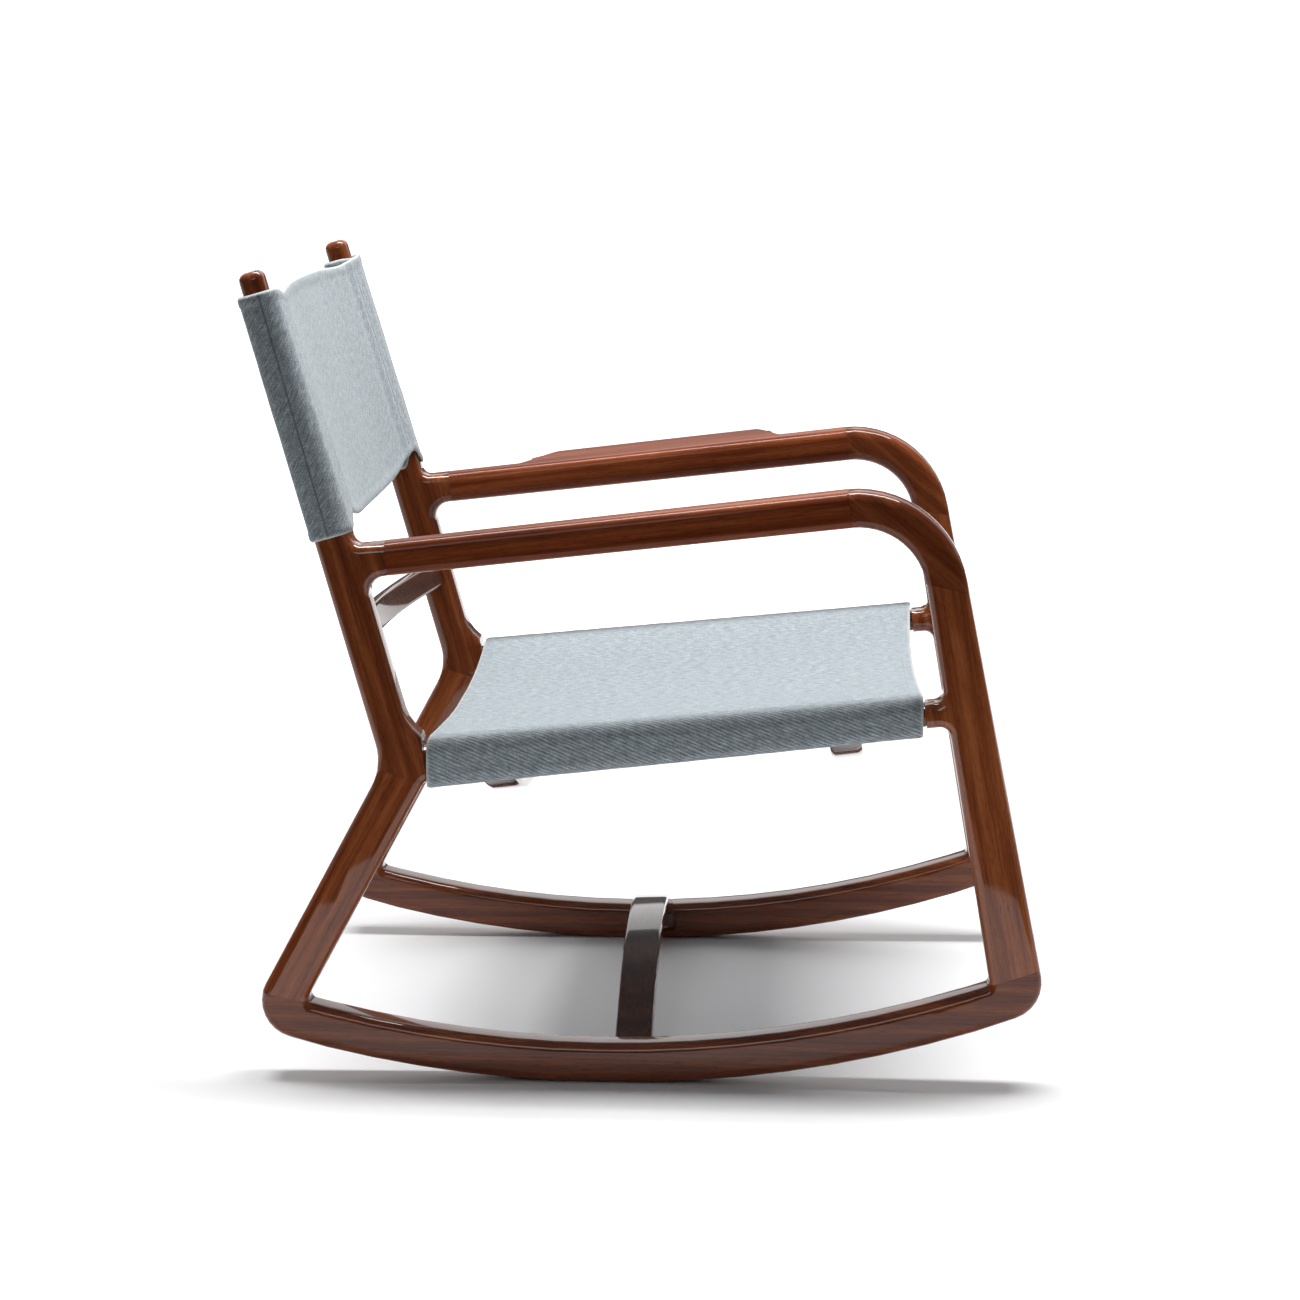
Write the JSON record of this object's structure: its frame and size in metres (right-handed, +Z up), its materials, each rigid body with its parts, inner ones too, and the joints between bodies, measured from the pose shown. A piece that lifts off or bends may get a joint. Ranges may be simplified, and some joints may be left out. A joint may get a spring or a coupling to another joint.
{
  "type": "rocking chair",
  "caption": "Low rocking lounge chair with sculpted hardwood side frames, bowed cross members and woven fabric slings for seat and back; the left arm has a widened rest.",
  "frame": {"origin": "on the floor, under the middle of the bounding box", "axes": "+X to the front of the chair, +Y to the sitter's left, +Z up"},
  "size_m": [0.7836, 0.694, 0.8025],
  "materials": {
    "frame_wood": "lacquered, glossy",
    "arm_wood": "lacquered, glossy",
    "crossbar_wood": "lacquered, glossy",
    "tenon_wood": "bare, hidden inside the joints",
    "sling_fabric": "heathered twill, matt"
  },
  "bodies": {
    "root": {"back_crossbar": "crossbar_wood", "back_sling": "sling_fabric", "left_arm": "arm_wood", "left_arm_bend": "arm_wood", "left_arm_bend_tenon": "tenon_wood", "left_arm_post_tenon": "tenon_wood", "left_back_crossbar_tenon": "tenon_wood", "left_back_post": "frame_wood", "left_bend_leg_tenon": "tenon_wood", "left_front_foot_tenon": "tenon_wood", "left_front_leg": "frame_wood", "left_knee_tenon": "tenon_wood", "left_rail_leg_tenon": "tenon_wood", "left_rail_post_tenon": "tenon_wood", "left_rear_foot_tenon": "tenon_wood", "left_rear_leg": "frame_wood", "left_rocker": "frame_wood", "left_rocker_stretcher_tenon": "tenon_wood", "left_seat_front_crossbar_tenon": "tenon_wood", "left_seat_rail": "frame_wood", "left_seat_rear_crossbar_tenon": "tenon_wood", "right_arm": "arm_wood", "right_arm_bend": "arm_wood", "right_arm_bend_tenon": "tenon_wood", "right_arm_post_tenon": "tenon_wood", "right_back_crossbar_tenon": "tenon_wood", "right_back_post": "frame_wood", "right_bend_leg_tenon": "tenon_wood", "right_front_foot_tenon": "tenon_wood", "right_front_leg": "frame_wood", "right_knee_tenon": "tenon_wood", "right_rail_leg_tenon": "tenon_wood", "right_rail_post_tenon": "tenon_wood", "right_rear_foot_tenon": "tenon_wood", "right_rear_leg": "frame_wood", "right_rocker": "frame_wood", "right_rocker_stretcher_tenon": "tenon_wood", "right_seat_front_crossbar_tenon": "tenon_wood", "right_seat_rail": "frame_wood", "right_seat_rear_crossbar_tenon": "tenon_wood", "rocker_stretcher": "crossbar_wood", "seat_front_crossbar": "crossbar_wood", "seat_rear_crossbar": "crossbar_wood", "seat_sling": "sling_fabric"}
  },
  "joints": []
}
